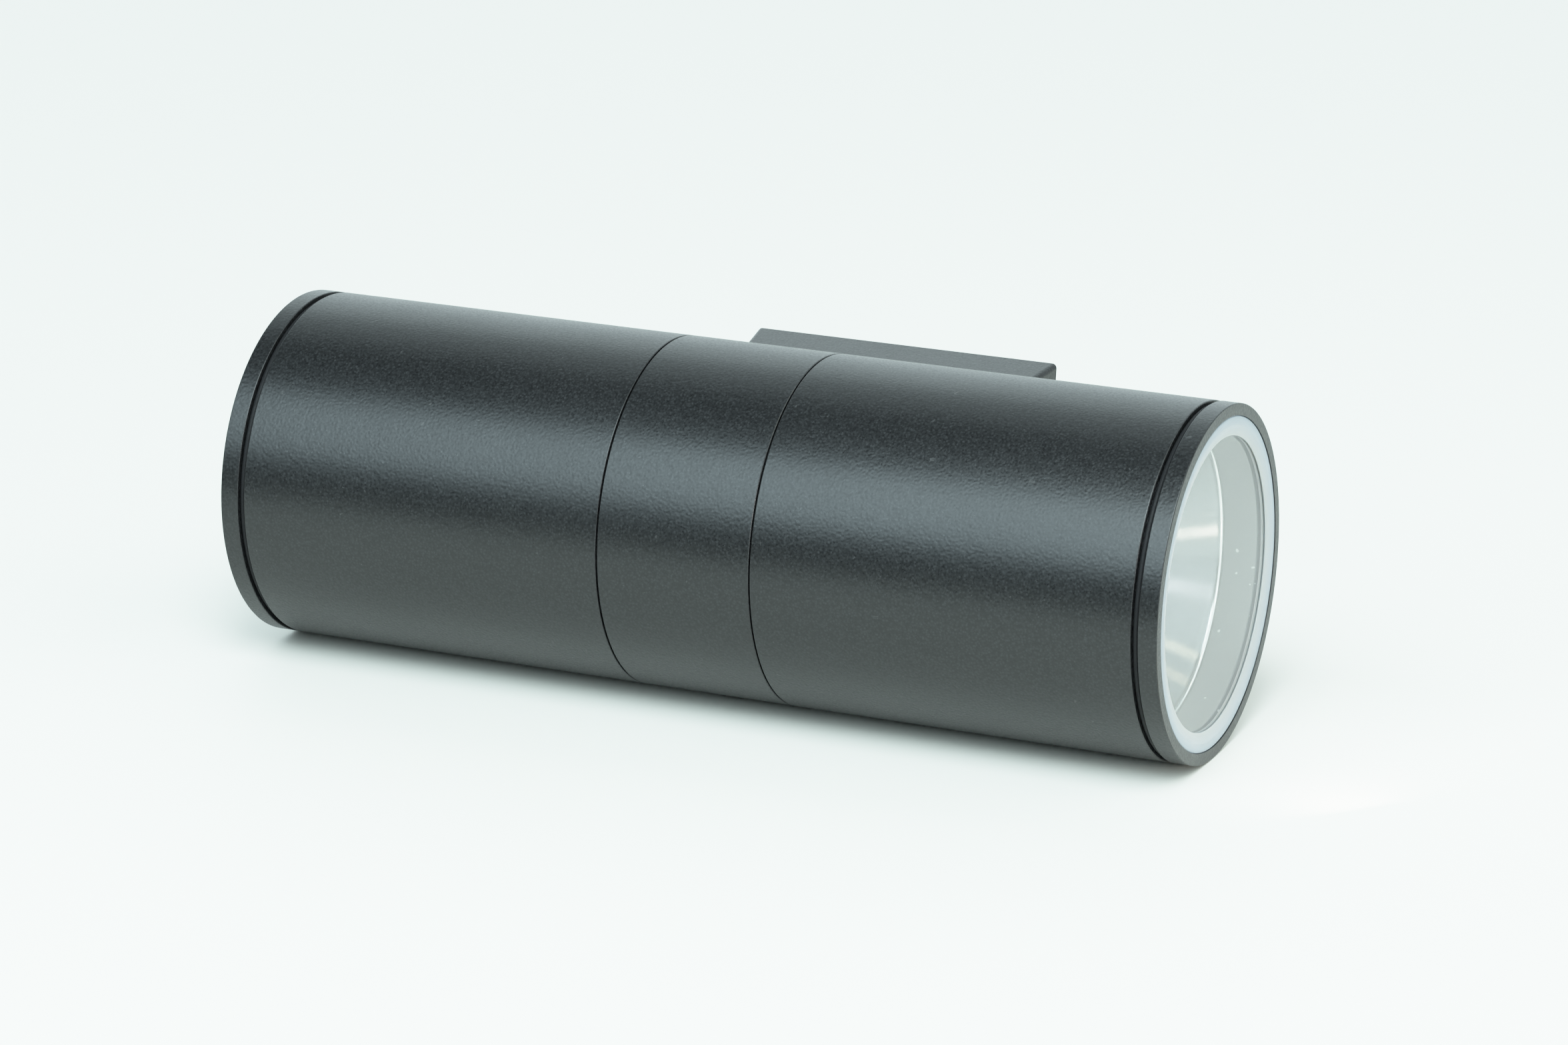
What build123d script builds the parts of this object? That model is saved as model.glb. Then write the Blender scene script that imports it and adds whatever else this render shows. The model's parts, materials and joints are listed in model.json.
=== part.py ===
from build123d import *
import math
import os

# Tube wall light: two aluminium tubes on a centre casting, which a short arm
# carries off a tapered wall box. Light leaves through a glass at each end.
# Frame: millimetres, +Z up along the tubes, wall plane at y = 0, lamp towards -Y.
# Lengths along the tube are written s, measured from the middle of the lamp.

# ---------------------------------------------------------------- dimensions
TUBE_R = 54.0            # outside radius of tubes, centre band and bezels
TUBE_BORE_R = 52.0
AXIS_OUT = 122.0         # wall plane to tube axis
HALF_LEN = 153.0         # middle to the face of a bezel
BAND_HALF = 24.75        # half length of the centre band
TUBE_S0 = 25.25          # tube, inner end (0.5 mm shadow gap to the band)
TUBE_S1 = 145.0          # tube, outer end
LIP_S0 = 147.1           # bezel lip, inner end (2.1 mm seal groove to the tube)

SPIGOT_R = 51.95
CASTING_BORE_R = 48.5
SPIGOT_END = 40.0
GRUB_S = 29.5            # grub screw that holds a tube on its spigot

FACE_R_IN = 50.35        # bore of the bezel face, round the gasket
RECESS = 0.5             # gasket face below the bezel face
GASKET_R_OUT = 50.3
GASKET_R_IN = 44.27      # clear opening
GASKET_STEP_R = 47.6     # inside this the front leg slopes down to the opening
GASKET_LEG = 0.9
GLASS_R = 49.1
GLASS_T = 4.0
REAR_LEG_R_IN = 47.6
LEDGE_R_IN = 45.9
LEDGE_T = 1.3
SKIRT_R_IN = 49.2
THREAD_CREST_R = 51.93
THREAD_ROOT_R = 51.0
THREAD_PITCH = 2.0
SKIRT_END = 134.0
NECK_RELIEF_R = 51.2
ORING_MAJOR = 52.2
ORING_R = 0.93

REFLECTOR_RIM_S = 135.6  # top of the reflector's rolled rim
REFLECTOR_RIM_R = 44.4
REFLECTOR_BASE_S = 94.0
REFLECTOR_BASE_R = 14.0
FLANGE_R = 48.6
SLEEVE_R_IN = 44.4
SLEEVE_R_OUT = 45.6

PLATE_S0 = 84.0          # heat sink plate
PLATE_S1 = 89.0
PLATE_R = 51.8
FIN_END = 60.0
STANDOFF_R = 44.5        # circle of the standoffs
STANDOFF_ANGLES = (90, 210, 330)
STANDOFF_AF = 8.0
M4 = 2.0
M3 = 1.5
HOLE_GAP = 0.05

ARM_X = 40.0
ARM_Z = 44.0
ARM_WALL_END = 29.0      # arm end flange, distance from the wall
ARM_SCREW_X = 14.5
ARM_SCREW_Z = 16.5
ROOT_RADIUS = 2.0        # where the arm leaves the band

BOX_X = 80.0             # wall box at the wall
BOX_Z = 105.0
BOX_DEPTH = 28.0
BOX_SLOPE_X = 13.0       # degrees, long faces
BOX_SLOPE_Z = 8.0        # degrees, end faces
BOX_WALL = 3.5
BOX_FRONT_WALL = 2.5

BRACKET_X = 30.0
BRACKET_HALF_Z = 46.3
BRACKET_T = 1.5
BRACKET_FLANGE = 16.0
SLOT_R = 2.75
SLOT_LEN = 12.0
SLOT_SPACING = 66.0
ENTRY_R = 10.0
SIDE_SCREW_Y = -9.0

LEAD_R = 1.0
LEAD_BEND = 8.0

out = {}


def on_axis(shape):
    """Moves a shape modelled round Z to the tube axis."""
    return Pos(0, -AXIS_OUT, 0) * shape


def turned(points):
    """A ring turned about Z from (radius, height) points."""
    wire = Polyline(*[(r, 0, s) for r, s in points], close=True)
    return revolve(make_face(wire), axis=Axis.Z)


def cyl(r, p0, direction, length):
    """A cylinder of radius r from p0, length along direction."""
    return extrude(Plane(origin=p0, z_dir=direction) * Circle(r), length)


def block(x0, x1, y0, y1, z0, z1):
    return Pos((x0 + x1) / 2, (y0 + y1) / 2, (z0 + z1) / 2) * Box(x1 - x0, y1 - y0, z1 - z0)


def rect_at(y, w, h, r):
    """A rounded rectangle, w along X and h along Z, on the plane at that y."""
    return Plane.XZ.offset(-y) * RectangleRounded(w, h, r)


def group(solids):
    return Compound(children=list(solids))


def put(name, shape):
    out[name] = shape


def both_ends(name, shape):
    put("upper_" + name, shape)
    put("lower_" + name, mirror(shape, about=Plane.XY))


def polar(radius, deg):
    return radius * math.cos(math.radians(deg)), radius * math.sin(math.radians(deg))


# ---------------------------------------------------------------- tubes
c = 0.3
tube = turned([
    (TUBE_BORE_R, TUBE_S0), (TUBE_R - 0.2, TUBE_S0), (TUBE_R, TUBE_S0 + 0.2),
    (TUBE_R, TUBE_S1 - 0.2), (TUBE_R - 0.2, TUBE_S1), (TUBE_BORE_R + 0.4, TUBE_S1),
    (TUBE_BORE_R, TUBE_S1 - 0.4)])
tube -= cyl(M4 + HOLE_GAP, (0, CASTING_BORE_R, GRUB_S), (0, 1, 0), 8)
both_ends("tube", on_axis(tube))

# a grub screw at the back, through the tube into the spigot of the casting
grub = cyl(M4, (0, CASTING_BORE_R + 0.2, GRUB_S), (0, 1, 0), 5.0)
grub -= extrude(Plane(origin=(0, CASTING_BORE_R + 5.3, GRUB_S), z_dir=(0, -1, 0)) * RegularPolygon(1.15, 6), 2.2)
both_ends("tube_screw", on_axis(grub))

# ---------------------------------------------------------------- bezel, one at each end
thread = []
s = SKIRT_END + 0.6
while s + THREAD_PITCH <= 143.2:
    thread += [(THREAD_ROOT_R, s), (THREAD_CREST_R, s + 0.7), (THREAD_CREST_R, s + 1.3)]
    s += THREAD_PITCH
ledge_top = HALF_LEN - RECESS - GASKET_LEG - GLASS_T - 0.8
bezel = turned(
    [(SKIRT_R_IN, SKIRT_END), (THREAD_ROOT_R - 0.3, SKIRT_END)] + thread + [
        (THREAD_ROOT_R, s), (NECK_RELIEF_R, s + 0.2), (NECK_RELIEF_R, LIP_S0),
        (TUBE_R - 0.25, LIP_S0), (TUBE_R, LIP_S0 + 0.25),
        (TUBE_R, HALF_LEN - 0.3), (TUBE_R - 0.3, HALF_LEN),
        (FACE_R_IN + 0.15, HALF_LEN), (FACE_R_IN, HALF_LEN - 0.15),
        (FACE_R_IN, ledge_top), (LEDGE_R_IN, ledge_top),
        (LEDGE_R_IN, ledge_top - LEDGE_T), (SKIRT_R_IN, ledge_top - LEDGE_T)])
both_ends("bezel", on_axis(bezel))

# gasket: a U round the edge of the glass, its front leg is the pale ring that shows
g1 = HALF_LEN - RECESS
gasket = turned([
    (GASKET_R_IN + 0.2, g1 - 0.3), (GASKET_STEP_R, g1), (GASKET_R_OUT - 0.2, g1), (GASKET_R_OUT, g1 - 0.2),
    (GASKET_R_OUT, ledge_top), (REAR_LEG_R_IN, ledge_top),
    (REAR_LEG_R_IN, ledge_top + 0.8), (GLASS_R, ledge_top + 0.8),
    (GLASS_R, g1 - GASKET_LEG), (GASKET_R_IN, g1 - GASKET_LEG), (GASKET_R_IN, g1 - 0.5)])
both_ends("glass_gasket", on_axis(gasket))

glass_top = g1 - GASKET_LEG
glass = turned([
    (0, glass_top - GLASS_T), (GLASS_R - 0.3, glass_top - GLASS_T),
    (GLASS_R, glass_top - GLASS_T + 0.3), (GLASS_R, glass_top - 0.3),
    (GLASS_R - 0.3, glass_top), (0, glass_top)])
both_ends("glass", on_axis(glass))

oring = Pos(0, 0, (TUBE_S1 + LIP_S0) / 2) * Torus(ORING_MAJOR, ORING_R)
both_ends("bezel_seal", on_axis(oring))

# ---------------------------------------------------------------- reflector and sleeve
wall = 0.9
rim_s = REFLECTOR_RIM_S
bead = 0.5
prof = [
    Line((REFLECTOR_BASE_R, 0, REFLECTOR_BASE_S), (REFLECTOR_BASE_R + 3.0, 0, REFLECTOR_BASE_S)),
    ThreePointArc((REFLECTOR_BASE_R + 3.0, 0, REFLECTOR_BASE_S), (32.0, 0, 114.9),
                  (REFLECTOR_RIM_R + 1.6, 0, rim_s - 1.6)),
    Line((REFLECTOR_RIM_R + 1.6, 0, rim_s - 1.6), (FLANGE_R, 0, rim_s - 1.6)),
    Line((FLANGE_R, 0, rim_s - 1.6), (FLANGE_R, 0, rim_s - 0.6)),
    Line((FLANGE_R, 0, rim_s - 0.6), (REFLECTOR_RIM_R + 1.3, 0, rim_s - 0.6)),
    ThreePointArc((REFLECTOR_RIM_R + 1.3, 0, rim_s - 0.6), (REFLECTOR_RIM_R + 0.62, 0, rim_s - 0.02),
                  (REFLECTOR_RIM_R, 0, rim_s - 0.75)),
    ThreePointArc((REFLECTOR_RIM_R, 0, rim_s - 0.75), (30.2, 0, 114.3),
                  (REFLECTOR_BASE_R, 0, REFLECTOR_BASE_S)),
]
reflector = revolve(make_face(Wire(prof)), axis=Axis.Z)
both_ends("reflector", on_axis(reflector))

sleeve = turned([
    (SLEEVE_R_IN + 1.0, rim_s + 0.05), (SLEEVE_R_OUT, rim_s + 0.05),
    (SLEEVE_R_OUT, glass_top - GLASS_T - 0.2), (SLEEVE_R_IN + 0.2, glass_top - GLASS_T - 0.2),
    (SLEEVE_R_IN, glass_top - GLASS_T - 0.4), (SLEEVE_R_IN, rim_s + 0.35)])
foot = turned([
    (SLEEVE_R_IN + 1.3, rim_s - 0.6), (FLANGE_R, rim_s - 0.6), (FLANGE_R, rim_s + 0.4),
    (SLEEVE_R_OUT - 0.1, rim_s + 0.4), (SLEEVE_R_IN + 1.3, rim_s + 0.3)])
both_ends("sleeve", on_axis(sleeve + foot))

# ---------------------------------------------------------------- lamp module
holder_pocket = 1.7
led_lead_y = 16.0
plate = cyl(PLATE_R, (0, 0, PLATE_S0), (0, 0, 1), PLATE_S1 - PLATE_S0)
for deg in STANDOFF_ANGLES:
    x, y = polar(STANDOFF_R, deg)
    plate -= cyl(M4 + 0.2, (x, y, PLATE_S0 - 1), (0, 0, 1), 8)
plate -= cyl(3.2, (0, led_lead_y, PLATE_S0 - 1), (0, 0, 1), 8)
for x in (-18, 18):
    plate -= cyl(M3 + HOLE_GAP, (x, 0, PLATE_S1 - 4.5), (0, 0, 1), 5)
fins = None
for x in (-28, -20, -12, -4, 4, 12, 20, 28):
    half = math.sqrt(36.0 ** 2 - abs(x) ** 2)
    fin = block(x - 1, x + 1, -half, half, FIN_END, PLATE_S0 + 0.5)
    plate += fin
both_ends("heat_sink", on_axis(plate))

board = block(-12, 12, -12, 12, PLATE_S1, PLATE_S1 + 1.6)
dome = cyl(8.5, (0, 0, PLATE_S1 + 1.6), (0, 0, 1), 0.7)
both_ends("led_module", on_axis(board + dome))

holder = turned([
    (9.3, PLATE_S1), (22, PLATE_S1), (22, REFLECTOR_BASE_S - 0.6), (21.4, REFLECTOR_BASE_S),
    (13.4, REFLECTOR_BASE_S), (9.3, PLATE_S1 + holder_pocket + 0.4)])
holder -= block(-12.1, 12.1, -12.1, 12.1, PLATE_S1 - 1, PLATE_S1 + holder_pocket)
for x in (-18, 18):
    holder -= cyl(M3 + 0.15, (x, 0, PLATE_S1 - 1), (0, 0, 1), 8)
    holder -= cyl(3.0, (x, 0, PLATE_S1 + 2.6), (0, 0, 1), 4)
holder -= cyl(3.2, (0, led_lead_y, PLATE_S1 - 1), (0, 0, 1), 3.4)
both_ends("led_holder", on_axis(holder))


def cap_screw(x, y, s_head, head_r, head_h, shank_r, length, socket):
    """A socket head screw, its head standing on s_head and its shank below."""
    scr = cyl(head_r, (x, y, s_head), (0, 0, 1), head_h) + cyl(shank_r, (x, y, s_head), (0, 0, -1), length)
    hexa = Plane(origin=(x, y, s_head + head_h), z_dir=(0, 0, -1)) * RegularPolygon(socket, 6)
    return scr - extrude(hexa, head_h * 0.6)


both_ends("holder_screws", group([
    on_axis(cap_screw(x, 0, PLATE_S1 + 2.6, 2.75, 1.9, M3, 6.8, 1.25)) for x in (-18, 18)]))

# standoffs carry the heat sink on the centre casting
standoffs = []
plate_screws = []
for deg in STANDOFF_ANGLES:
    x, y = polar(STANDOFF_R, deg)
    hexbar = extrude(Plane(origin=(x, y, SPIGOT_END), z_dir=(0, 0, 1))
                     * RegularPolygon(STANDOFF_AF / 2, 6, major_radius=False), PLATE_S0 - SPIGOT_END)
    hexbar += cyl(M4, (x, y, SPIGOT_END), (0, 0, -1), 8)
    hexbar -= cyl(M4 + HOLE_GAP, (x, y, PLATE_S0), (0, 0, -1), 11)
    standoffs.append(on_axis(hexbar))
    plate_screws.append(on_axis(cap_screw(x, y, PLATE_S1, 3.5, 2.6, M4, 15, 1.7)))
both_ends("standoffs", group(standoffs))
both_ends("heat_sink_screws", group(plate_screws))

# leads from the driver to the lamp module, through the middle gap of the fins
led_leads = []
for x in (-1.5, 1.5):
    pts = [(x, 6.5, 32), (x, 6.5, 44), (x, led_lead_y, 60), (x, led_lead_y, PLATE_S1 + 1.9)]
    path = FilletPolyline(*pts, radius=12)
    led_leads.append(on_axis(sweep(Plane(origin=pts[0], z_dir=(0, 0, 1)) * Circle(0.8), path=path)))
both_ends("led_leads", group(led_leads))

# ---------------------------------------------------------------- centre casting with its arm
casting = turned([
    (CASTING_BORE_R, -SPIGOT_END), (SPIGOT_R - 0.5, -SPIGOT_END), (SPIGOT_R, -SPIGOT_END + 0.5),
    (SPIGOT_R, -35.2), (50.15, -35.2), (50.15, -32.8), (SPIGOT_R, -32.8),
    (SPIGOT_R, -BAND_HALF), (TUBE_R - 0.2, -BAND_HALF), (TUBE_R, -BAND_HALF + 0.2),
    (TUBE_R, BAND_HALF - 0.2), (TUBE_R - 0.2, BAND_HALF), (SPIGOT_R, BAND_HALF),
    (SPIGOT_R, 32.8), (50.15, 32.8), (50.15, 35.2), (SPIGOT_R, 35.2),
    (SPIGOT_R, SPIGOT_END - 0.5), (SPIGOT_R - 0.5, SPIGOT_END), (CASTING_BORE_R, SPIGOT_END)])
for sign in (1, -1):
    for deg in STANDOFF_ANGLES:
        x, y = polar(STANDOFF_R, deg)
        boss = cyl(4.6, (x, y, sign * 28.0), (0, 0, sign), SPIGOT_END - 28.0)
        boss &= cyl(49.5, (0, 0, -SPIGOT_END), (0, 0, 1), 2 * SPIGOT_END)
        casting += boss
        casting -= cyl(M4 + HOLE_GAP, (x, y, sign * (SPIGOT_END + 1)), (0, 0, -sign), 10)
    pad = block(min(33 * sign, 50 * sign), max(33 * sign, 50 * sign), -30, -14.5, -8, 8)
    pad &= cyl(49.5, (0, 0, -SPIGOT_END), (0, 0, 1), 2 * SPIGOT_END)
    casting += pad
    casting -= cyl(M3 + HOLE_GAP, (39.0 * sign, -14.0, 0), (0, -1, 0), 9)
    casting -= cyl(M4 + HOLE_GAP, (0, CASTING_BORE_R - 1, sign * GRUB_S), (0, 1, 0), 6)
casting = on_axis(casting)
arm_y0 = -AXIS_OUT + 50.0
arm_prof = Plane.XZ.offset(-arm_y0) * RectangleRounded(ARM_X, ARM_Z, 6)
arm = extrude(arm_prof, -(-ARM_WALL_END - arm_y0))
core = on_axis(cyl(50.0, (0, 0, -60), (0, 0, 1), 120))
arm_outer = arm - core
casting += arm_outer
root_edges = []
for e in casting.edges():
    m = e.center()
    if abs(math.hypot(m.X, m.Y + AXIS_OUT) - TUBE_R) < 2.0 and abs(m.X) < ARM_X / 2 + 0.5 \
            and abs(m.Z) < ARM_Z / 2 + 0.5 and m.Y > -AXIS_OUT + 45:
        root_edges.append(e)
print("root edges", len(root_edges))
casting = fillet(root_edges, ROOT_RADIUS)
casting -= extrude(Plane.XZ.offset(AXIS_OUT - 40) * RectangleRounded(30, 34, 4),
                   -(AXIS_OUT - 40 - ARM_WALL_END - 5))
for x in (-ARM_SCREW_X, ARM_SCREW_X):
    for z in (-ARM_SCREW_Z, ARM_SCREW_Z):
        casting += cyl(4.4, (x, -ARM_WALL_END, z), (0, -1, 0), 16)
        casting -= cyl(M4 + HOLE_GAP, (x, -ARM_WALL_END + 1, z), (0, -1, 0), 14)
casting -= cyl(6.05, (0, -ARM_WALL_END + 1, 0), (0, -1, 0), 8)
put("centre_casting", casting)

joint_seal = turned([(50.2, 32.9), (51.9, 32.9), (51.9, 35.1), (50.2, 35.1)])
both_ends("tube_seal", on_axis(joint_seal))

# ---------------------------------------------------------------- driver
plate_y = -14.5
drv_plate = block(-43, 43, plate_y, plate_y + 1.5, -39, 39)
drv_plate &= cyl(47.6, (0, 0, -39), (0, 0, 1), 78)
for x in (-39, 39):
    drv_plate -= cyl(M3 + 0.15, (x, plate_y - 1, 0), (0, 1, 0), 4)
for z in (-35.2, 35.2):
    drv_plate -= cyl(M3 + HOLE_GAP, (0, plate_y - 1, z), (0, 1, 0), 4)
put("driver_plate", on_axis(drv_plate))

d0 = plate_y + 1.5
case = block(-19, 19, d0, d0 + 22, -32, 32) - block(-17.4, 17.4, d0 + 1.6, d0 + 23, -30.4, 30.4)
for x in (-14, 14):
    for z in (-26, 26):
        case += cyl(2.4, (x, d0 + 1, z), (0, 1, 0), 3.4)
for sign in (1, -1):
    ear = block(-6, 6, d0, d0 + 2, min(31.5 * sign, 38.6 * sign), max(31.5 * sign, 38.6 * sign))
    case += ear
    case -= cyl(M3 + 0.15, (0, d0 - 1, 35.2 * sign), (0, 1, 0), 4)
    for x in (-1.5, 1.5):
        case -= cyl(0.85, (x, 6.5, 30 * sign), (0, 0, sign), 3)
put("driver_case", on_axis(case))

pcb_y = d0 + 4.4
pcb = block(-16.8, 16.8, pcb_y, pcb_y + 1.6, -29.8, 29.8)
parts_y = pcb_y + 1.6
transformer = block(-9, 9, parts_y, parts_y + 11, -9, 7)
bobbin = block(-6.5, 6.5, parts_y, parts_y + 12.5, -12, -9) + block(-6.5, 6.5, parts_y, parts_y + 12.5, 7, 10)
cap_a = cyl(4.0, (-10, parts_y, 21), (0, 1, 0), 12)
cap_b = cyl(4.0, (10, parts_y, 21), (0, 1, 0), 12)
chip = block(-4, 4, parts_y, parts_y + 2, -26, -20)
choke = cyl(4.5, (11, parts_y, -21), (0, 1, 0), 8)
put("driver_board", on_axis(pcb + transformer + bobbin + cap_a + cap_b + chip + choke))

cover = block(-19, 19, d0 + 22, d0 + 24, -32, 32)
lip = block(-17.3, 17.3, d0 + 20, d0 + 22, -30.3, 30.3) - block(-15.8, 15.8, d0 + 19, d0 + 23, -28.8, 28.8)
cover += lip
for x in (-3, 3):
    cover -= cyl(LEAD_R + HOLE_GAP, (x, d0 + 19, 0), (0, 1, 0), 8)
put("driver_cover", on_axis(cover))


def pan_screw(p, direction, head_r, head_h, shank_r, length, slot):
    """A pan head screw: head on p, standing away from direction, shank along direction."""
    back = tuple(-v for v in direction)
    scr = cyl(head_r, p, back, head_h) + cyl(shank_r, p, direction, length)
    tip = tuple(a + b * head_h for a, b in zip(p, back))
    hexa = Plane(origin=tip, z_dir=direction) * RegularPolygon(slot, 6)
    return scr - extrude(hexa, head_h * 0.6)


put("driver_plate_screws", group([
    on_axis(pan_screw((x, plate_y + 1.5, 0), (0, -1, 0), 2.8, 2.0, M3, 9.0, 1.1)) for x in (-39, 39)]))
put("driver_screws", group([
    on_axis(pan_screw((0, d0 + 2, z), (0, -1, 0), 2.8, 2.0, M3, 6.0, 1.1)) for z in (-35.2, 35.2)]))

# ---------------------------------------------------------------- wall box
tan_x = math.tan(math.radians(BOX_SLOPE_X))
tan_z = math.tan(math.radians(BOX_SLOPE_Z))


def half_x(y):
    return BOX_X / 2 - abs(y) * tan_x


def half_z(y):
    return BOX_Z / 2 - abs(y) * tan_z


shell = loft([rect_at(0, BOX_X, BOX_Z, 1.6), rect_at(-BOX_DEPTH, 2 * half_x(BOX_DEPTH), 2 * half_z(BOX_DEPTH), 1.6)])
shell = fillet(shell.faces().sort_by(Axis.Y)[0].edges(), 1.2)
inner_y = -BOX_DEPTH + BOX_FRONT_WALL
cav = loft([rect_at(1, 2 * (half_x(-1) - BOX_WALL), 2 * (half_z(-1) - BOX_WALL), 1.5),
            rect_at(inner_y, 2 * (half_x(inner_y) - BOX_WALL), 2 * (half_z(inner_y) - BOX_WALL), 1.5)])
wall_box = shell - cav
# groove for the rim seal
groove_w = 1.6
gx, gz = BOX_X / 2 - 0.95, BOX_Z / 2 - 0.95
groove = (extrude(rect_at(0, 2 * gx, 2 * gz, 1.4), 1.2)
          - extrude(rect_at(0, 2 * (gx - groove_w), 2 * (gz - groove_w), 0.8), 1.2))
wall_box -= groove
seal = (extrude(rect_at(0, 2 * gx - 0.1, 2 * gz - 0.1, 1.35), 1.15)
        - extrude(rect_at(0, 2 * (gx - groove_w) + 0.1, 2 * (gz - groove_w) + 0.1, 0.85), 1.15))
put("wall_seal", seal)
# arm screws and lead bush through the front
for x in (-ARM_SCREW_X, ARM_SCREW_X):
    for z in (-ARM_SCREW_Z, ARM_SCREW_Z):
        wall_box -= cyl(M4 + 0.2, (x, inner_y + 1, z), (0, -1, 0), 6)
wall_box -= cyl(6.05, (0, inner_y + 1, 0), (0, -1, 0), 6)
# earth post and terminal block seat
earth_x, earth_z = 12.0, 28.0
wall_box += cyl(4.0, (earth_x, inner_y - 0.5, earth_z), (0, 1, 0), 9.0)
earth_top = inner_y + 8.5
wall_box -= cyl(M4 + HOLE_GAP, (earth_x, earth_top + 0.1, earth_z), (0, -1, 0), 8.0)
# side screws, spot-faced so that their heads sit flat
side_seat = 50.0
for sign in (1, -1):
    wall_box += cyl(6.0, (0, SIDE_SCREW_Y, sign * 46.8), (0, 0, sign), 2.6)
    wall_box -= cyl(4.3, (0, SIDE_SCREW_Y, sign * side_seat), (0, 0, sign), 4)
    wall_box -= cyl(M4 + 0.15, (0, SIDE_SCREW_Y, sign * 45.0), (0, 0, sign), 8)
put("wall_box", wall_box)

side_screws = []
for sign in (1, -1):
    head = cyl(3.9, (0, SIDE_SCREW_Y, sign * side_seat), (0, 0, sign), 2.2)
    head = fillet(head.faces().sort_by(Axis.Z)[-1 if sign > 0 else 0].edges(), 1.3)
    scr = head + cyl(M4, (0, SIDE_SCREW_Y, sign * side_seat), (0, 0, -sign), 8.0)
    hexa = Plane(origin=(0, SIDE_SCREW_Y, sign * (side_seat + 2.3)), z_dir=(0, 0, -sign)) * RegularPolygon(1.45, 6)
    side_screws.append(scr - extrude(hexa, 1.5))
put("side_screws", group(side_screws))

# gasket and screws between wall box and arm
arm_gasket = extrude(rect_at(-BOX_DEPTH, ARM_X, ARM_Z, 6), ARM_WALL_END - BOX_DEPTH)
arm_gasket -= cyl(6.05, (0, -BOX_DEPTH + 1, 0), (0, -1, 0), 4)
for x in (-ARM_SCREW_X, ARM_SCREW_X):
    for z in (-ARM_SCREW_Z, ARM_SCREW_Z):
        arm_gasket -= cyl(M4 + 0.2, (x, -BOX_DEPTH + 1, z), (0, -1, 0), 4)
put("arm_gasket", arm_gasket)
put("arm_screws", group([
    pan_screw((x, inner_y, z), (0, -1, 0), 3.6, 2.6, M4, 14.0, 1.5)
    for x in (-ARM_SCREW_X, ARM_SCREW_X) for z in (-ARM_SCREW_Z, ARM_SCREW_Z)]))

# lead bush: flange inside the box, barb inside the arm
bush = (cyl(8.0, (0, inner_y, 0), (0, 1, 0), 2.0) + cyl(6.0, (0, inner_y, 0), (0, -1, 0), 8.5)
        + cyl(6.9, (0, -ARM_WALL_END - 5.0, 0), (0, -1, 0), 2.0))
for x in (-3, 3):
    bush -= cyl(LEAD_R + HOLE_GAP, (x, inner_y + 3, 0), (0, -1, 0), 14)
put("lead_bush", bush)

# ---------------------------------------------------------------- wall bracket
bracket = block(-BRACKET_X / 2, BRACKET_X / 2, -BRACKET_T, 0, -BRACKET_HALF_Z, BRACKET_HALF_Z)
for sign in (1, -1):
    z_out, z_in = sign * BRACKET_HALF_Z, sign * (BRACKET_HALF_Z - BRACKET_T)
    bracket += block(-BRACKET_X / 2, BRACKET_X / 2, -BRACKET_FLANGE, 0, min(z_out, z_in), max(z_out, z_in))
bends = [e for e in bracket.edges().filter_by(Axis.X) if abs(e.center().Y) < 0.01 and abs(abs(e.center().Z) - BRACKET_HALF_Z) < 0.01]
bracket = fillet(bends, BRACKET_T + 0.5)
inner_bends = [e for e in bracket.edges().filter_by(Axis.X)
               if abs(e.center().Y + BRACKET_T) < 0.01 and abs(abs(e.center().Z) - BRACKET_HALF_Z + BRACKET_T) < 0.01]
bracket = fillet(inner_bends, 0.5)
tips = [e for e in bracket.edges().filter_by(Axis.Z) if abs(e.center().Y + BRACKET_FLANGE) < 0.01]
bracket = fillet(tips, 4.0)
for sign in (1, -1):
    z_out, z_in = sign * BRACKET_HALF_Z, sign * (BRACKET_HALF_Z - BRACKET_T)
    bracket += cyl(3.6, (0, SIDE_SCREW_Y, z_in + 0.2 * sign), (0, 0, -sign), 2.2)
    bracket -= cyl(M4 + HOLE_GAP, (0, SIDE_SCREW_Y, z_out + sign), (0, 0, -sign), 6)
    bracket -= extrude(Plane.XZ.offset(-1) * Pos(0, sign * SLOT_SPACING / 2, 0)
                       * SlotOverall(SLOT_LEN, 2 * SLOT_R, rotation=90), 4)
bracket -= cyl(ENTRY_R, (0, 1, 0), (0, -1, 0), 4)
put("wall_bracket", bracket)

# ---------------------------------------------------------------- terminal block and leads in the wall box
lead_y = inner_y + 2.0 + LEAD_BEND
tb_z1, tb_z0 = -22.0, -38.0
poles = (-4.0, 4.0, 12.0)
term = block(-8.5, 16.5, inner_y, lead_y + 4.5, tb_z0, tb_z1)
for x in poles:
    term -= cyl(1.9, (x, lead_y, tb_z0 - 1), (0, 0, 1), 18)
    term -= cyl(1.8, (x, lead_y + 6, -26.5), (0, -1, 0), 6.5)
    term -= cyl(1.8, (x, lead_y + 6, -33.5), (0, -1, 0), 6.5)
for x in (0.0, 8.0):
    term -= block(x - 0.4, x + 0.4, lead_y + 2.5, lead_y + 5, tb_z0 - 1, tb_z1 + 1)
put("terminal_block", term)

clamps = []
for x in poles:
    barrel = cyl(1.85, (x, lead_y, -37.0), (0, 0, 1), 14.0)
    barrel -= cyl(LEAD_R + HOLE_GAP, (x, lead_y, -28.0), (0, 0, 1), 6)
    barrel -= cyl(1.2, (x, lead_y, -38.0), (0, 0, 1), 6)
    clamps.append(barrel)
put("terminal_barrels", group(clamps))
tscrews = []
for x in poles:
    for z in (-26.5, -33.5):
        scr = cyl(1.7, (x, lead_y + 1.95, z), (0, 1, 0), 1.9)
        scr -= block(x - 1.7, x + 1.7, lead_y + 3.05, lead_y + 5, z - 0.3, z + 0.3)
        tscrews.append(scr)
put("terminal_screws", group(tscrews))


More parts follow.
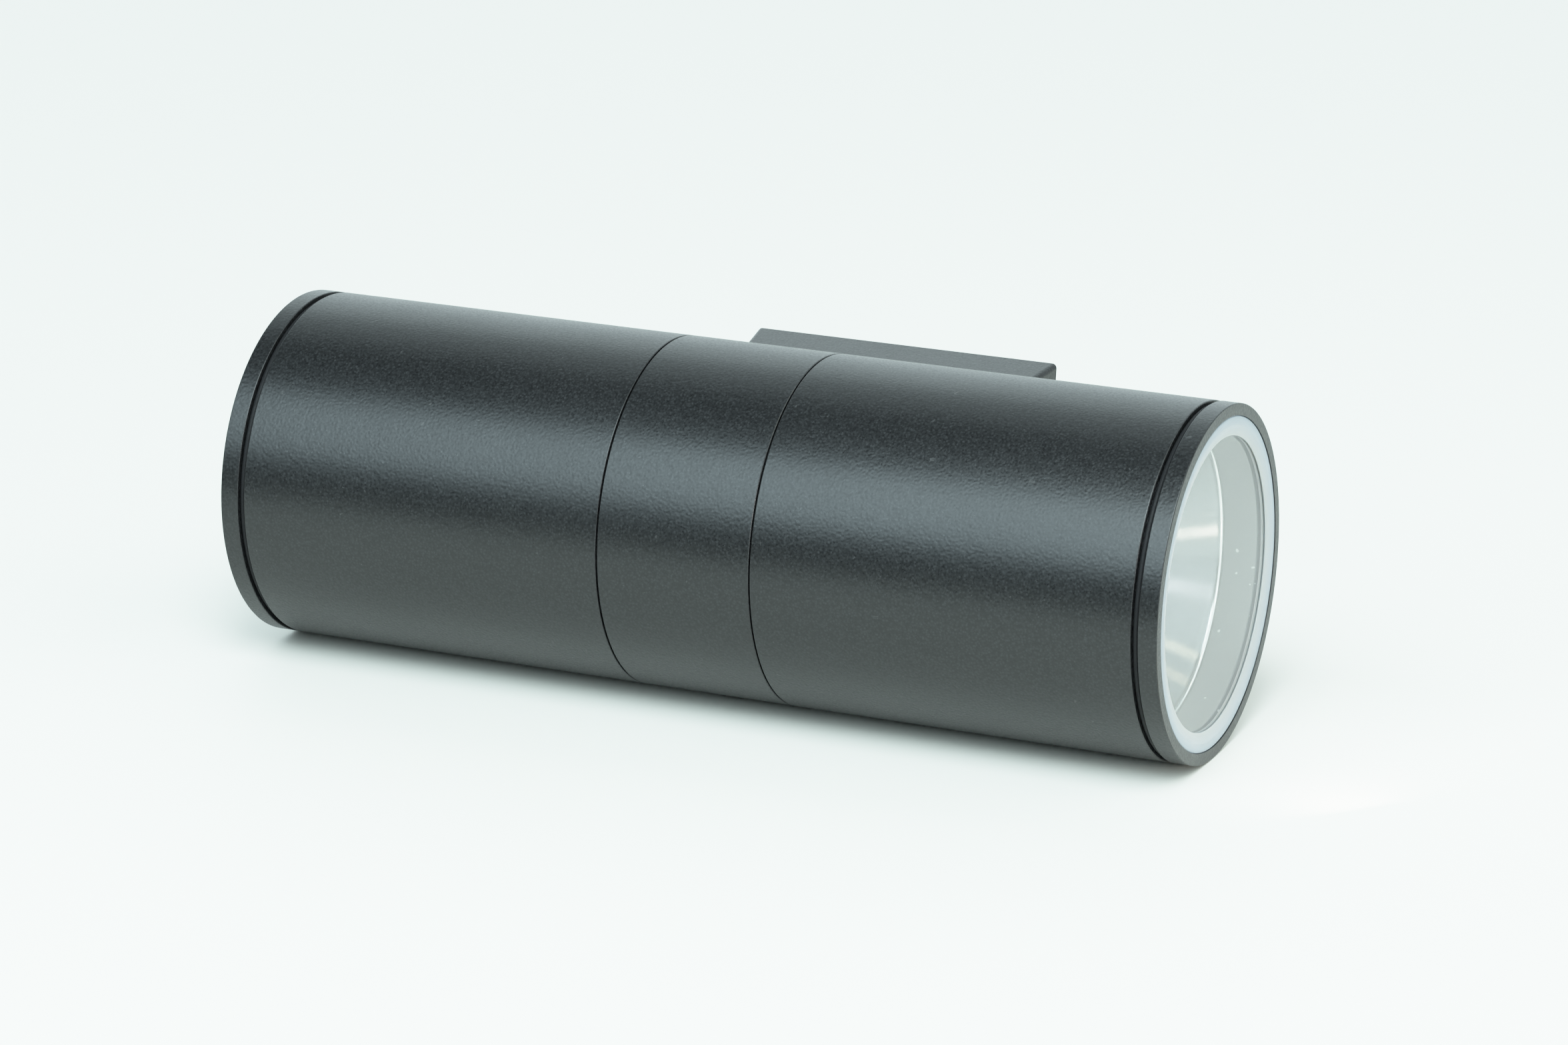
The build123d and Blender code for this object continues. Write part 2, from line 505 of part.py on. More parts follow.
def lead(points, radius):
    path = FilletPolyline(*points, radius=radius)
    d = tuple(b - a for a, b in zip(points[0], points[1]))
    return sweep(Plane(origin=points[0], z_dir=d) * Circle(LEAD_R), path=path)


start_y = -AXIS_OUT + d0 + 22.5
put("live_lead",
    lead([(-3, start_y, 0), (-3, lead_y, 0), (-4, lead_y, -20.5), (-4, lead_y, -27.5)], [LEAD_BEND, 6.0]))
put("neutral_lead",
    lead([(3, start_y, 0), (3, lead_y, 0), (4, lead_y, -20.5), (4, lead_y, -27.5)], [LEAD_BEND, 6.0]))

lug_z0 = earth_z - 10.0
earth = cyl(LEAD_R, (earth_x, lead_y, -27.5), (0, 0, 1), 27.5 + lug_z0 + 4.8)
put("earth_lead", earth)
lug = (cyl(3.6, (earth_x, earth_top, earth_z), (0, 1, 0), 0.8)
       - cyl(M4 + 0.1, (earth_x, earth_top - 1, earth_z), (0, 1, 0), 3))
crimp = cyl(1.45, (earth_x, lead_y, lug_z0), (0, 0, 1), 5.8)
crimp -= cyl(LEAD_R + HOLE_GAP, (earth_x, lead_y, lug_z0 - 1), (0, 0, 1), 6.0)
tongue = block(earth_x - 1.4, earth_x + 1.4, earth_top + 0.1, earth_top + 0.8, lug_z0 + 5.2, earth_z - 2.3)
put("earth_lug", lug + tongue + crimp)
put("earth_screw", pan_screw((earth_x, earth_top + 0.8, earth_z), (0, -1, 0), 3.5, 2.2, M4, 8.0, 1.5))

# ---------------------------------------------------------------- write
os.makedirs("parts", exist_ok=True)
for name, shape in out.items():
    export_step(shape, "parts/" + name + ".step")
print(len(out), "nodes")
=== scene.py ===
import bpy
import bmesh
import json
import math
import numpy as np
from mathutils import Vector, Matrix

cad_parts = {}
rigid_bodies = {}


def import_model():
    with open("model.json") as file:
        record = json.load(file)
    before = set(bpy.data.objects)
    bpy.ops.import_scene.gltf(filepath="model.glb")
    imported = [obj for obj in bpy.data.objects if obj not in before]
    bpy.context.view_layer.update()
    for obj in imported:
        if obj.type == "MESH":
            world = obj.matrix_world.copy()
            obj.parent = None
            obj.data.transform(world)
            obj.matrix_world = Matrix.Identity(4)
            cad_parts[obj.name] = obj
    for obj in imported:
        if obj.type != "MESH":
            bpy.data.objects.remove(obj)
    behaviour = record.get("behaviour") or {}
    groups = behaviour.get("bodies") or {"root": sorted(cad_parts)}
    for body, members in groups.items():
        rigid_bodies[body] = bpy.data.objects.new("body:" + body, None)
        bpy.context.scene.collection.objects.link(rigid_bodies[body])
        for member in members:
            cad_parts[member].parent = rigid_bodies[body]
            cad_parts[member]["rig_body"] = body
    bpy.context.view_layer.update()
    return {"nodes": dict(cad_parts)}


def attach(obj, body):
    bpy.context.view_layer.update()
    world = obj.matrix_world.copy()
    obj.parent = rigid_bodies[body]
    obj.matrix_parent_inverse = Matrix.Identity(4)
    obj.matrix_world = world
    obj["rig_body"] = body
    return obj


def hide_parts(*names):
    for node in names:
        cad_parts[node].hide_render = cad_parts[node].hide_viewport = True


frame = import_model()
nodes = frame["nodes"]

# ------------------------------------------------------------------ sizes, millimetres along s and r
AX = -0.122              # y of the tube axis, metres
MM = 0.001
SEGS = 288


def mm_point(r, ang, s, sgn=1):
    return (r * MM * math.cos(ang), AX + r * MM * math.sin(ang), s * MM * sgn)


# ------------------------------------------------------------------ the photograph's frame
# The lamp lies on its side: u runs along the tubes to the right, v away from the camera, w up.
PHI = math.radians(-6.75)


def lay(u, v, w):
    """A point or direction of the lying lamp's frame, about the tube axis, as x, y, z of the row frame."""
    vv = v * math.cos(PHI) + w * math.sin(PHI)
    ww = -v * math.sin(PHI) + w * math.cos(PHI)
    return Vector((ww, vv, -u))


def lay_point(u, v, w):
    return lay(u, v, w) + Vector((0, AX, 0))


# ------------------------------------------------------------------ mesh helpers
def finish_mesh(name, bm, sharp=35.0, mats=()):
    me = bpy.data.meshes.new(name)
    bm.to_mesh(me)
    bm.free()
    me.polygons.foreach_set("use_smooth", [True] * len(me.polygons))
    me.set_sharp_from_angle(angle=math.radians(sharp))
    me.update()
    ob = bpy.data.objects.new(name, me)
    bpy.context.scene.collection.objects.link(ob)
    for m in mats:
        me.materials.append(m)
    return ob


def rounded(points, steps=4):
    """Closed profile from (r, s) or (r, s, radius) corners: corners with a radius are rounded."""
    out = []
    n = len(points)
    for i in range(n):
        p = Vector(points[i][:2])
        rad = points[i][2] if len(points[i]) > 2 else 0.0
        if rad <= 0:
            out.append((p.x, p.y))
            continue
        a = Vector(points[i - 1][:2]) - p
        b = Vector(points[(i + 1) % n][:2]) - p
        la, lb = a.length, b.length
        a.normalize()
        b.normalize()
        half = math.acos(max(-1, min(1, a.dot(b)))) / 2
        t = min(rad / math.tan(half), 0.48 * la, 0.48 * lb)
        rr = t * math.tan(half)
        mid = (a + b).normalized()
        centre = p + mid * (rr / math.sin(half))
        p0, p1 = p + a * t, p + b * t
        a0 = math.atan2(p0.y - centre.y, p0.x - centre.x)
        a1 = math.atan2(p1.y - centre.y, p1.x - centre.x)
        d = (a1 - a0 + math.pi) % (2 * math.pi) - math.pi
        # one more ring just outside each end of the arc keeps the flats shading flat
        q0 = p0 + a * min(0.07, 0.04 * la)
        q1 = p1 + b * min(0.07, 0.04 * lb)
        out.append((q0.x, q0.y))
        for k in range(steps + 1):
            an = a0 + d * k / steps
            out.append((centre.x + rr * math.cos(an), centre.y + rr * math.sin(an)))
        out.append((q1.x, q1.y))
    return out


def area2(pts):
    return sum(pts[i - 1][0] * pts[i][1] - pts[i][0] * pts[i - 1][1] for i in range(len(pts)))


def revolve(name, pts, sgn=1, segs=SEGS, sharp=35.0, mats=(), slot_of=None):
    """A closed (r, s) profile in millimetres turned round the tube axis. sgn -1 makes the lower end's copy."""
    if area2(pts) < 0:
        pts = pts[::-1]
    bm = bmesh.new()
    rings = []
    for r, s in pts:
        if r < 1e-6:
            v = bm.verts.new(mm_point(0, 0, s, sgn))
            rings.append([v] * segs)
        else:
            rings.append([bm.verts.new(mm_point(r, 2 * math.pi * j / segs, s, sgn)) for j in range(segs)])
    n = len(pts)
    for i in range(n):
        a, b = rings[i], rings[(i + 1) % n]
        if a[0] is a[1] and b[0] is b[1]:
            continue
        for j in range(segs):
            k = (j + 1) % segs
            quad = [a[j], b[j], b[k], a[k]]
            loop = []
            for v in quad:
                if v not in loop:
                    loop.append(v)
            if len(loop) < 3:
                continue
            if sgn > 0:
                loop = loop[::-1]
            f = bm.faces.new(loop)
            if slot_of:
                rm = (pts[i][0] + pts[(i + 1) % n][0]) / 2
                sm = (pts[i][1] + pts[(i + 1) % n][1]) / 2
                f.material_index = slot_of(rm, sm)
    bm.normal_update()
    return finish_mesh(name, bm, sharp, mats)


def drill(ob, centre, radius, depth):
    """A round hole through a wall, its axis along Y."""
    bm = bmesh.new()
    bmesh.ops.create_cone(bm, cap_ends=True, segments=64, radius1=radius, radius2=radius, depth=depth)
    bmesh.ops.transform(bm, matrix=Matrix.Translation(centre) @ Matrix.Rotation(math.pi / 2, 4, "X"), verts=bm.verts)
    tool = finish_mesh(ob.name + "_tool", bm, 35, list(ob.data.materials)[:1])
    mod = ob.modifiers.new("hole", "BOOLEAN")
    mod.solver = "EXACT"
    mod.object = tool
    dg = bpy.context.evaluated_depsgraph_get()
    me = bpy.data.meshes.new_from_object(ob.evaluated_get(dg))
    ob.modifiers.clear()
    old = ob.data
    ob.data = me
    bpy.data.meshes.remove(old)
    bpy.data.objects.remove(tool)
    me.polygons.foreach_set("use_smooth", [True] * len(me.polygons))
    me.set_sharp_from_angle(angle=math.radians(35))


def body_of_node(n):
    return nodes[n]["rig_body"]


def stand_for(ob, node):
    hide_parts(node)
    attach(ob, body_of_node(node))
    return ob


# ------------------------------------------------------------------ material helpers
class Mat:
    """A small wrapper that makes node building short."""

    def __init__(self, name):
        self.m = bpy.data.materials.new(name)
        self.m.use_nodes = True
        self.nt = self.m.node_tree
        self.nt.nodes.clear()
        self.out = self.nt.nodes.new("ShaderNodeOutputMaterial")
        self.p = self.nt.nodes.new("ShaderNodeBsdfPrincipled")
        self.link(self.p.outputs[0], self.out.inputs["Surface"])
        self.co = self.nt.nodes.new("ShaderNodeTexCoord").outputs["Object"]

    def link(self, a, b):
        self.nt.links.new(a, b)

    def set(self, **kw):
        for k, v in kw.items():
            self.p.inputs[k.replace("_", " ")].default_value = v
        return self

    def mapping(self, scale=(1, 1, 1), loc=(0, 0, 0)):
        n = self.nt.nodes.new("ShaderNodeMapping")
        n.inputs["Scale"].default_value = scale
        n.inputs["Location"].default_value = loc
        self.link(self.co, n.inputs["Vector"])
        return n.outputs[0]

    def noise(self, scale, detail=2.0, rough=0.5, vec=None, dist=0.0):
        n = self.nt.nodes.new("ShaderNodeTexNoise")
        n.inputs["Scale"].default_value = scale
        n.inputs["Detail"].default_value = detail
        n.inputs["Roughness"].default_value = rough
        n.inputs["Distortion"].default_value = dist
        self.link(vec if vec is not None else self.co, n.inputs["Vector"])
        return n.outputs["Fac"]

    def voronoi(self, scale, feature="F1", vec=None, rnd=1.0):
        n = self.nt.nodes.new("ShaderNodeTexVoronoi")
        n.feature = feature
        n.inputs["Scale"].default_value = scale
        n.inputs["Randomness"].default_value = rnd
        self.link(vec if vec is not None else self.co, n.inputs["Vector"])
        return n.outputs["Distance"]

    def math(self, op, a, b=None, c=None, clamp=False):
        n = self.nt.nodes.new("ShaderNodeMath")
        n.operation = op
        n.use_clamp = clamp
        for i, v in enumerate((a, b, c)):
            if v is None:
                continue
            if isinstance(v, (int, float)):
                n.inputs[i].default_value = v
            else:
                self.link(v, n.inputs[i])
        return n.outputs[0]

    def ramp(self, fac, stops):
        n = self.nt.nodes.new("ShaderNodeValToRGB")
        els = n.color_ramp.elements
        while len(els) > 1:
            els.remove(els[-1])
        els[0].position = stops[0][0]
        els[0].color = (*stops[0][1], 1) if len(stops[0][1]) == 3 else stops[0][1]
        for pos, col in stops[1:]:
            e = els.new(pos)
            e.color = (*col, 1) if len(col) == 3 else col
        self.link(fac, n.inputs[0])
        return n.outputs[0]

    def range(self, v, a, b, c, d):
        n = self.nt.nodes.new("ShaderNodeMapRange")
        for i, x in zip(("From Min", "From Max", "To Min", "To Max"), (a, b, c, d)):
            n.inputs[i].default_value = x
        self.link(v, n.inputs["Value"])
        return n.outputs[0]

    def mix(self, fac, a, b):
        n = self.nt.nodes.new("ShaderNodeMix")
        n.data_type = "RGBA"
        for v, i in ((fac, 0), (a, 6), (b, 7)):
            if isinstance(v, (int, float)):
                n.inputs[i].default_value = v
            elif isinstance(v, (tuple, list)):
                n.inputs[i].default_value = (*v, 1) if len(v) == 3 else v
            else:
                self.link(v, n.inputs[i])
        return n.outputs[2]

    def bump(self, height, distance, strength=1.0, under=None):
        n = self.nt.nodes.new("ShaderNodeBump")
        n.inputs["Distance"].default_value = distance
        n.inputs["Strength"].default_value = strength
        self.link(height, n.inputs["Height"])
        if under is not None:
            self.link(under, n.inputs["Normal"])
        self.link(n.outputs[0], self.p.inputs["Normal"])
        return n.outputs[0]

    def xyz(self):
        n = self.nt.nodes.new("ShaderNodeSeparateXYZ")
        self.link(self.co, n.inputs[0])
        return n.outputs


def ring_vector(m, along, around):
    """Noise coordinates that stretch round the tube axis: radius and height fine, angle coarse."""
    x, y, z = m.xyz()
    yy = m.math("SUBTRACT", y, AX)
    rad = m.math("SQRT", m.math("ADD", m.math("MULTIPLY", x, x), m.math("MULTIPLY", yy, yy)))
    ang = m.math("ARCTAN2", yy, x)
    n = m.nt.nodes.new("ShaderNodeCombineXYZ")
    m.link(m.math("MULTIPLY", rad, along), n.inputs[0])
    m.link(m.math("MULTIPLY", z, along), n.inputs[1])
    m.link(m.math("MULTIPLY", ang, around), n.inputs[2])
    return n.outputs[0]


def powder(name, base=0.0070, rough=0.335):
    """Fine textured black powder coat: a tight grain that glints in the light, over a faint orange peel."""
    m = Mat(name)
    m.set(IOR=1.5)
    peel = m.noise(1150, 0.0, 0.5)
    wave = m.noise(420, 0.0, 0.5)
    m.bump(m.math("ADD", m.math("MULTIPLY", peel, 1.0), m.math("MULTIPLY", wave, 0.25)), 0.000044, 1.0)
    fine = m.noise(1500, 2.0, 0.6)
    grit = m.voronoi(1150)
    patch = m.noise(18, 3.0, 0.6)
    r = m.math("ADD", m.range(patch, 0.3, 0.7, rough - 0.012, rough + 0.014),
               m.range(fine, 0.30, 0.70, -0.07, 0.07))
    m.link(r, m.p.inputs["Roughness"])
    # every grain reflects a little more or less, like the facets of the texture
    glint = m.math("MULTIPLY", m.range(grit, 0.10, 0.62, 1.0, 0.0), m.range(fine, 0.34, 0.66, 0.25, 1.0))
    glint = m.math("MULTIPLY", glint, 0.17, clamp=True)
    m.link(glint, m.p.inputs["Metallic"])
    col = m.mix(m.range(peel, 0.3, 0.7, 0.0, 1.0), (base * 0.80, base * 0.84, base * 0.90), (base * 1.22, base * 1.26, base * 1.34))
    col = m.mix(m.math("MULTIPLY", glint, 1.5, clamp=True), col, (0.095, 0.098, 0.102))
    specks = m.math("GREATER_THAN", m.noise(520, 1.0, 0.5, dist=0.4), 0.782)
    col = m.mix(m.math("MULTIPLY", specks, 0.30), col, (0.09, 0.09, 0.09))
    m.link(col, m.p.inputs["Base Color"])
    return m.m


def metal(name, color, rough, spread=0.06, brush=None, bump=0.000004, metallic=1.0, aniso=0.0):
    m = Mat(name)
    m.set(Metallic=metallic)
    vec = ring_vector(m, 9000, 2.0) if brush == "ring" else (m.mapping(brush) if brush else None)
    line = m.noise(1.0 if brush == "ring" else 1.0, 3.0, 0.6, vec=vec) if brush else m.noise(900, 3.0, 0.6)
    cloud = m.noise(60, 3.0, 0.6)
    r = m.math("ADD", m.range(line, 0.3, 0.7, rough - spread, rough + spread), m.range(cloud, 0.3, 0.7, -0.02, 0.03))
    m.link(r, m.p.inputs["Roughness"])
    lo = tuple(c * 0.90 for c in color)
    hi = tuple(min(1, c * 1.05) for c in color)
    m.link(m.mix(m.range(cloud, 0.3, 0.7, 0, 1), lo, hi), m.p.inputs["Base Color"])
    m.bump(line, bump)
    if aniso:
        m.set(Anisotropic=aniso)
        m.p.inputs["Anisotropic Rotation"].default_value = 0.25
        t = m.nt.nodes.new("ShaderNodeTangent")
        t.direction_type = "RADIAL"
        t.axis = "Z"
        m.link(t.outputs[0], m.p.inputs["Tangent"])
    return m.m


def plastic(name, color, rough=0.45, grain=1800, bump=0.00002, spread=0.05, sss=0.0, sss_scale=0.001, spec=None):
    m = Mat(name)
    fine = m.noise(grain, 2.0, 0.5)
    cloud = m.noise(45, 3.0, 0.6)
    m.link(m.math("ADD", m.range(fine, 0.35, 0.65, rough - spread, rough + spread), m.range(cloud, 0.3, 0.7, -0.03, 0.03)),
           m.p.inputs["Roughness"])
    lo = tuple(c * 0.93 for c in color)
    hi = tuple(min(1, c * 1.04) for c in color)
    m.link(m.mix(m.range(cloud, 0.3, 0.7, 0, 1), lo, hi), m.p.inputs["Base Color"])
    m.bump(fine, bump)
    if spec is not None:
        m.p.inputs["Specular IOR Level"].default_value = spec
    if sss:
        m.p.inputs["Subsurface Weight"].default_value = sss
        m.p.inputs["Subsurface Radius"].default_value = (1.0, 1.1, 1.2)
        m.p.inputs["Subsurface Scale"].default_value = sss_scale
    return m.m


# ------------------------------------------------------------------ materials
mat_coat = powder("powder_coat")
mat_bare = metal("bare_aluminium", (0.66, 0.67, 0.68), 0.34, 0.07, "ring", 0.000003)
mat_thread = metal("cut_thread", (0.60, 0.61, 0.62), 0.30, 0.06, "ring", 0.000003)
mat_rubber = plastic("seal_rubber", (0.008, 0.008, 0.009), 0.62, 1200, 0.00002, spec=0.22)
mat_steel = metal("screw_steel", (0.60, 0.59, 0.57), 0.27, 0.05)
mat_brass = metal("standoff_brass", (0.66, 0.52, 0.27), 0.28, 0.05)
mat_holder = plastic("holder_nylon", (0.74, 0.74, 0.71), 0.42, 900, 0.00002, sss=0.15)
mat_driver = plastic("driver_plastic", (0.74, 0.74, 0.72), 0.48, 1400, 0.00003)
mat_wire_white = plastic("led_wire_sleeve", (0.72, 0.71, 0.67), 0.38, 900, 0.00001)
mat_live = plastic("live_wire_insulation", (0.115, 0.040, 0.016), 0.30, 900, 0.00001)
mat_neutral = plastic("neutral_wire_insulation", (0.010, 0.055, 0.26), 0.30, 900, 0.00001)
mat_lug = metal("tinned_copper", (0.72, 0.72, 0.70), 0.24, 0.05)
mat_tin = metal("terminal_brass", (0.70, 0.58, 0.34), 0.26, 0.05)


def zinc_sheet():
    """Pressed steel with a bluish zinc finish and faint rolling lines."""
    m = Mat("zinc_sheet")
    m.set(Metallic=1.0)
    roll = m.noise(1.0, 4.0, 0.6, vec=m.mapping((2600, 60, 60)))
    spangle = m.noise(240, 2.0, 0.5)
    m.link(m.mix(m.range(spangle, 0.35, 0.65, 0, 1), (0.55, 0.57, 0.60), (0.70, 0.71, 0.72)), m.p.inputs["Base Color"])
    m.link(m.math("ADD", m.range(roll, 0.3, 0.7, 0.26, 0.38), m.range(spangle, 0.3, 0.7, -0.03, 0.04)), m.p.inputs["Roughness"])
    m.bump(roll, 0.000004)
    return m.m


mat_zinc = zinc_sheet()


def earth_wire():
    """Green insulation with a yellow stripe that winds along it."""
    m = Mat("earth_wire_insulation")
    x, y, z = m.xyz()
    turn = m.math("ARCTAN2", m.math("SUBTRACT", y, -0.0155), m.math("SUBTRACT", x, 0.012))
    wave = m.math("SINE", m.math("ADD", m.math("MULTIPLY", z, 420.0), turn))
    stripe = m.range(wave, -0.05, 0.05, 0, 1)
    m.link(m.mix(stripe, (0.02, 0.19, 0.03), (0.72, 0.60, 0.03)), m.p.inputs["Base Color"])
    m.set(Roughness=0.32)
    m.bump(m.noise(900, 2), 0.00001)
    return m.m


mat_earth = earth_wire()


def silicone():
    """Milky translucent silicone with a faint bluish cast."""
    m = Mat("gasket_silicone")
    cloud = m.noise(70, 3.0, 0.6)
    x, y, z = m.xyz()
    yy = m.math("SUBTRACT", y, AX)
    rad = m.math("SQRT", m.math("ADD", m.math("MULTIPLY", x, x), m.math("MULTIPLY", yy, yy)))
    # bluer towards the outer edge, where it is thicker; the darkening there is painted shade, where it sinks between
    # glass and ring
    milk_and_edge_shade = m.ramp(m.range(m.math("ADD", rad, m.math("MULTIPLY", cloud, 0.0006)), 0.0446, 0.0508, 0, 1),
                  [(0.0, (0.385, 0.395, 0.395)), (0.40, (0.370, 0.390, 0.415)), (0.80, (0.305, 0.345, 0.390)), (1.0, (0.22, 0.26, 0.305))])
    m.link(milk_and_edge_shade, m.p.inputs["Base Color"])
    fine = m.noise(1.0, 2.0, 0.5, vec=ring_vector(m, 1500, 6.0))
    m.link(m.range(fine, 0.3, 0.7, 0.30, 0.40), m.p.inputs["Roughness"])
    m.p.inputs["Subsurface Weight"].default_value = 0.6
    m.p.inputs["Subsurface Radius"].default_value = (1.0, 1.25, 1.4)
    m.p.inputs["Subsurface Scale"].default_value = 0.0012
    m.p.inputs["IOR"].default_value = 1.41
    m.bump(fine, 0.000015)
    return m.m


mat_silicone = silicone()


def clear_glass():
    """Clear toughened glass with its faint green, lamps shine through it."""
    m = Mat("lens_glass")
    m.set(Metallic=0.0, Roughness=0.0, IOR=1.52)
    m.p.inputs["Base Color"].default_value = (0.965, 0.985, 0.975, 1)
    m.p.inputs["Transmission Weight"].default_value = 1.0
    clear = m.nt.nodes.new("ShaderNodeBsdfTransparent")
    clear.inputs[0].default_value = (0.90, 0.93, 0.92, 1)
    mix = m.nt.nodes.new("ShaderNodeMixShader")
    path = m.nt.nodes.new("ShaderNodeLightPath")
    m.link(path.outputs["Is Shadow Ray"], mix.inputs[0])
    m.link(m.p.outputs[0], mix.inputs[1])
    m.link(clear.outputs[0], mix.inputs[2])
    m.link(mix.outputs[0], m.out.inputs["Surface"])
    return m.m


mat_glass = clear_glass()


def sleeve_plastic():
    """Matt light grey moulding with fine turning lines and a few dust specks."""
    m = Mat("sleeve_plastic")
    line = m.noise(1.0, 3.0, 0.6, vec=ring_vector(m, 4200, 1.2))
    cloud = m.noise(30, 3.0, 0.6)
    dust = m.math("GREATER_THAN", m.noise(330, 1.0, 0.5), 0.76)
    col = m.mix(m.range(line, 0.3, 0.7, 0, 1), (0.080, 0.0785, 0.092), (0.097, 0.095, 0.110))
    col = m.mix(m.range(cloud, 0.3, 0.7, 0, 0.25), col, (0.073, 0.0715, 0.084))
    col = m.mix(m.math("MULTIPLY", dust, 0.5), col, (0.75, 0.76, 0.75))
    m.link(col, m.p.inputs["Base Color"])
    m.link(m.range(line, 0.3, 0.7, 0.50, 0.62), m.p.inputs["Roughness"])
    m.bump(line, 0.000008)
    return m.m


mat_sleeve = sleeve_plastic()
mat_sleeve_end_painted_light = plastic("sleeve_end_painted_light", (0.42, 0.42, 0.44), 0.55, 900, 0.00001)
# painted light: the sleeve's end is a guessed lighter colour, only so that the strip seen through the glass beside the
# gasket, which lies in the gasket's shade, does not look dark
# the bowl and its rim are one spun aluminium: the bowl's copy is darkened as painted shade, and the rim's much
# brighter copy is a painted highlight that draws the bright rim line
mat_reflector_painted_shade = metal("spun_reflector_painted_shade", (0.208, 0.217, 0.236), 0.21, 0.03, "ring", 0.000002, aniso=0.92)
mat_rim_painted_highlight = metal("rolled_rim_painted_highlight", (0.86, 0.88, 0.88), 0.18, 0.03, "ring", 0.000002)


def phosphor():
    """Lamp module: white board, solder pads, and the yellow phosphor inside a silicone dam."""
    m = Mat("lamp_module")
    x, y, z = m.xyz()
    yy = m.math("SUBTRACT", y, AX)
    rad = m.math("SQRT", m.math("ADD", m.math("MULTIPLY", x, x), m.math("MULTIPLY", yy, yy)))
    az = m.math("ABSOLUTE", z)
    top = m.math("GREATER_THAN", az, 0.09065)
    disc = m.math("MULTIPLY", m.math("LESS_THAN", rad, 0.0078), top)
    dam = m.math("MULTIPLY", m.math("LESS_THAN", rad, 0.0086), top)
    grain = m.noise(2600, 2.0, 0.6)
    yellow = m.mix(m.range(grain, 0.35, 0.65, 0, 1), (0.62, 0.46, 0.09), (0.74, 0.58, 0.16))
    board = m.mix(m.noise(300, 2), (0.70, 0.71, 0.70), (0.78, 0.79, 0.78))
    padx = m.math("LESS_THAN", m.math("ABSOLUTE", m.math("SUBTRACT", m.math("ABSOLUTE", x), 0.0085)), 0.0016)
    pady = m.math("LESS_THAN", m.math("ABSOLUTE", m.math("SUBTRACT", m.math("ABSOLUTE", yy), 0.0090)), 0.0014)
    pad = m.math("MULTIPLY", padx, pady)
    col = m.mix(pad, board, (0.62, 0.48, 0.22))
    col = m.mix(dam, col, (0.80, 0.80, 0.76))
    col = m.mix(disc, col, yellow)
    m.link(col, m.p.inputs["Base Color"])
    m.link(m.math("MULTIPLY", pad, 0.9), m.p.inputs["Metallic"])
    m.link(m.range(grain, 0.3, 0.7, 0.30, 0.42), m.p.inputs["Roughness"])
    m.bump(grain, 0.00001)
    return m.m


mat_module = phosphor()


def circuit():
    """Green board with dark and metallic parts standing on it."""
    m = Mat("driver_circuit")
    x, y, z = m.xyz()
    up = m.math("GREATER_THAN", y, AX - 0.0069)
    cell = m.voronoi(60)
    part = m.mix(m.math("GREATER_THAN", cell, 0.4), (0.02, 0.02, 0.022), (0.30, 0.20, 0.06))
    trace = m.math("GREATER_THAN", m.noise(420, 1.0, 0.4), 0.55)
    green = m.mix(m.math("MULTIPLY", trace, 0.5), (0.012, 0.085, 0.030), (0.05, 0.20, 0.08))
    m.link(m.mix(up, green, part), m.p.inputs["Base Color"])
    m.set(Roughness=0.35)
    m.bump(m.noise(900, 2), 0.00002)
    return m.m


mat_circuit = circuit()

